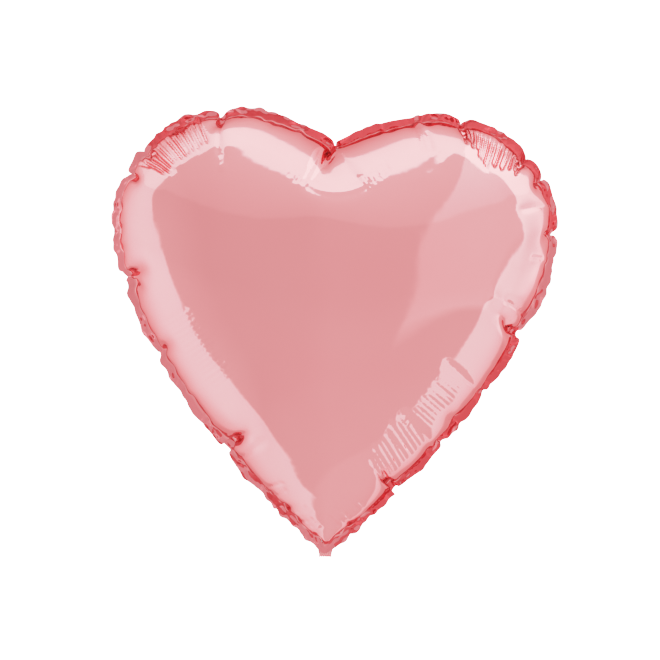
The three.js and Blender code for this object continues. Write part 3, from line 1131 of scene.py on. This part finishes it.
# The light that the film mirrors. Each part of the tent: which way it lies, and how bright it is from the
# opposite way, at 0, to straight that way, at 1.
TENT = {
    "ends": ((0, 1, 0), ((0.0, 0.47), (0.325, 0.475), (0.345, 0.72), (1.0, 0.72))),
    "far_end": ((0, 1, 0.25), ((0.0, 0.75), (0.755, 0.75), (0.79, 0.54), (1.0, 0.5))),
    "sides": ((1, 0, 0), ((0.0, 0.53), (0.2, 0.46), (0.42, 0.48), (0.5, 0.5), (1.0, 0.5))),
    "above": ((0, 0, 1), ((0.0, 0.55), (0.4, 0.52), (0.5, 0.5), (0.73, 0.51), (0.742, 0.56), (1.0, 0.66))),
    "panel": ((1, 0, 0), ((0.0, 0.5), (0.672, 0.5), (0.684, 0.63), (0.95, 0.63), (1.0, 0.5))),
    # Where the parts named above hold.
    "not_low_right": ((-0.3, 0, 1), ((0.0, 0.0), (0.062, 0.0), (0.08, 1.0), (1.0, 1.0))),
    "left": ((1, 0, 0), ((0.0, 1.0), (0.22, 1.0), (0.3, 0.0), (1.0, 0.0))),
    "off_floor": ((0, 0, 1), ((0.0, 0.0), (0.36, 0.0), (0.41, 1.0), (1.0, 1.0))),
}
# Where each mask is 0, and where it is 1: a part of the tent, or a level.
MASKED = (
    ("not_low_right", 0.5, "ends"),
    ("left", "far_end", 0.75),
    ("off_floor", 0.5, "panel"),
)
UNMASKED = ("sides", "above")
TENT_STRENGTH = 19.2
BACKDROP_STRENGTH = 3.0  # of the plain white seen past the balloon


def make_world(scene):
    """A studio tent. Its open end, where the camera stands, and its far end are dimmer than its walls, the
    wall above is the brightest, a soft panel lights from the right, and nothing from low on the right."""
    world = bpy.data.worlds.new("studio_tent")
    world.use_nodes = True
    tree = world.node_tree
    tree.nodes.clear()
    direction = add_node(tree, "ShaderNodeTexCoord").outputs["Generated"]
    light = {}
    for name, (towards, stops) in TENT.items():
        dot = add_node(tree, "ShaderNodeVectorMath", {"operation": "DOT_PRODUCT"}, {0: direction, 1: towards})
        part = add_node(tree, "ShaderNodeMapRange", None, {0: dot.outputs["Value"], 1: -1.0, 2: 1.0})
        light[name] = add_node(tree, "ShaderNodeValToRGB", None, {0: part.outputs[0]}, stops).outputs[0]
    found = []
    for mask, *levels in MASKED:
        low, high = (light.get(level) or (level, level, level, 1) for level in levels)
        mixed = add_node(tree, "ShaderNodeMix", {"data_type": "RGBA"}, {0: light[mask], 6: low, 7: high})
        found.append(mixed.outputs[2])
    found += [light[name] for name in UNMASKED]
    level = found[0]
    for other in found[1:]:
        times = {"data_type": "RGBA", "blend_type": "MULTIPLY"}
        level = add_node(tree, "ShaderNodeMix", times, {0: 1.0, 6: level, 7: other}).outputs[2]
    lit = add_node(tree, "ShaderNodeBackground", None, {0: level, 1: TENT_STRENGTH}).outputs[0]
    white = {0: (1, 1, 1, 1), 1: BACKDROP_STRENGTH}
    backdrop = add_node(tree, "ShaderNodeBackground", None, white).outputs[0]
    camera_ray = add_node(tree, "ShaderNodeLightPath").outputs["Is Camera Ray"]
    both = add_node(tree, "ShaderNodeMixShader", None, {0: camera_ray, 1: lit, 2: backdrop})
    add_node(tree, "ShaderNodeOutputWorld", None, {0: both.outputs[0]})
    scene.world = world


# What is brighter than white paper is rolled off softly: scene level, and the level shown.
SHOULDER = ((0.4, 0.4), (0.72, 0.72), (1.26, 0.855), (1.6, 0.925))
WHITE_LEVEL = 2.5


def set_tone(scene):
    """Shows the light levels as they are, with that shoulder."""
    view = scene.view_settings
    view.view_transform = "Standard"
    view.look = "None"
    view.use_curve_mapping = True
    curves = view.curve_mapping
    curves.white_level = (WHITE_LEVEL, WHITE_LEVEL, WHITE_LEVEL)
    for level, shown in SHOULDER:
        curves.curves[3].points.new(level / WHITE_LEVEL, shown)
    curves.update()


class BALLOON_PT_panel(bpy.types.Panel):
    """Steps of the balloon"""

    bl_idname = "BALLOON_PT_panel"
    bl_label = "Foil balloon"
    bl_space_type = "VIEW_3D"
    bl_region_type = "UI"
    bl_category = "Balloon"

    def draw(self, context):
        for operator in OPERATORS:
            self.layout.operator(operator.bl_idname)


SETTINGS = {
    "balloon_blown": BlownSettings,
    "balloon_cut": CutSettings,
    "balloon_film": FilmSettings,
    "balloon_tail": TailSettings,
    "balloon_valve": ValveSettings,
    "balloon_colours": ColourSettings,
    "balloon_stage": StageSettings,
}
OPERATORS = (BALLOON_OT_stage, BALLOON_OT_panels, BALLOON_OT_tail, BALLOON_OT_valve)
CLASSES = (*SETTINGS.values(), *OPERATORS, BALLOON_PT_panel)


def register():
    """Makes the steps and their settings known to Blender."""
    for cls in CLASSES:
        bpy.utils.register_class(cls)
    for name, group in SETTINGS.items():
        setattr(bpy.types.Scene, name, bpy.props.PointerProperty(type=group))


def unregister():
    """Takes them away again."""
    for name in SETTINGS:
        delattr(bpy.types.Scene, name)
    for cls in reversed(CLASSES):
        bpy.utils.unregister_class(cls)


def main():
    """Builds the balloon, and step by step."""
    register()
    bpy.ops.balloon.stage()
    bpy.ops.balloon.panels()
    bpy.ops.balloon.tail()
    bpy.ops.balloon.valve()


if __name__ == "__main__":
    main()
